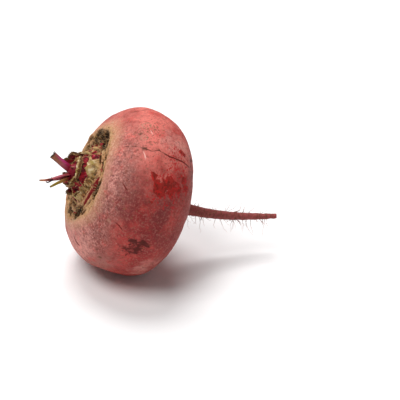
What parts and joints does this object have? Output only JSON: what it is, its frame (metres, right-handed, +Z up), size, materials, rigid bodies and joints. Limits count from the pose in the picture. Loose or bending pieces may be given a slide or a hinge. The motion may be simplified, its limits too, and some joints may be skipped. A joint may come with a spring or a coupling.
{
  "type": "beetroot",
  "caption": "Whole flattened round beetroot lying on its side, with its thin tail, a corky scarred crown, cut leaf bases and a trimmed tuft of young leaf stalks.",
  "frame": {"origin": "centre of the bounding box's base, on the surface that the beetroot lies on", "axes": "+Z up, +X towards the tip of the tail, -X towards the crown; the growth axis lies in the XZ plane with the crown 25 degrees above the floor; the picture looks along +Y from above and a little from the crown's side"},
  "size_m": [0.1112, 0.0748, 0.075],
  "materials": {
    "skin": "dull raw beetroot skin, salmon red to greyish mauve, scuffed and speckled",
    "cork": "dry corky cut leaf bases, tan and brown with crimson inner faces",
    "stalk": "fresh leaf stalk, satin magenta to crimson, with dry brown edges"
  },
  "bodies": {
    "root": {"root": "skin", "leaf_bases": "cork", "heart_stalks": "stalk"}
  },
  "joints": []
}
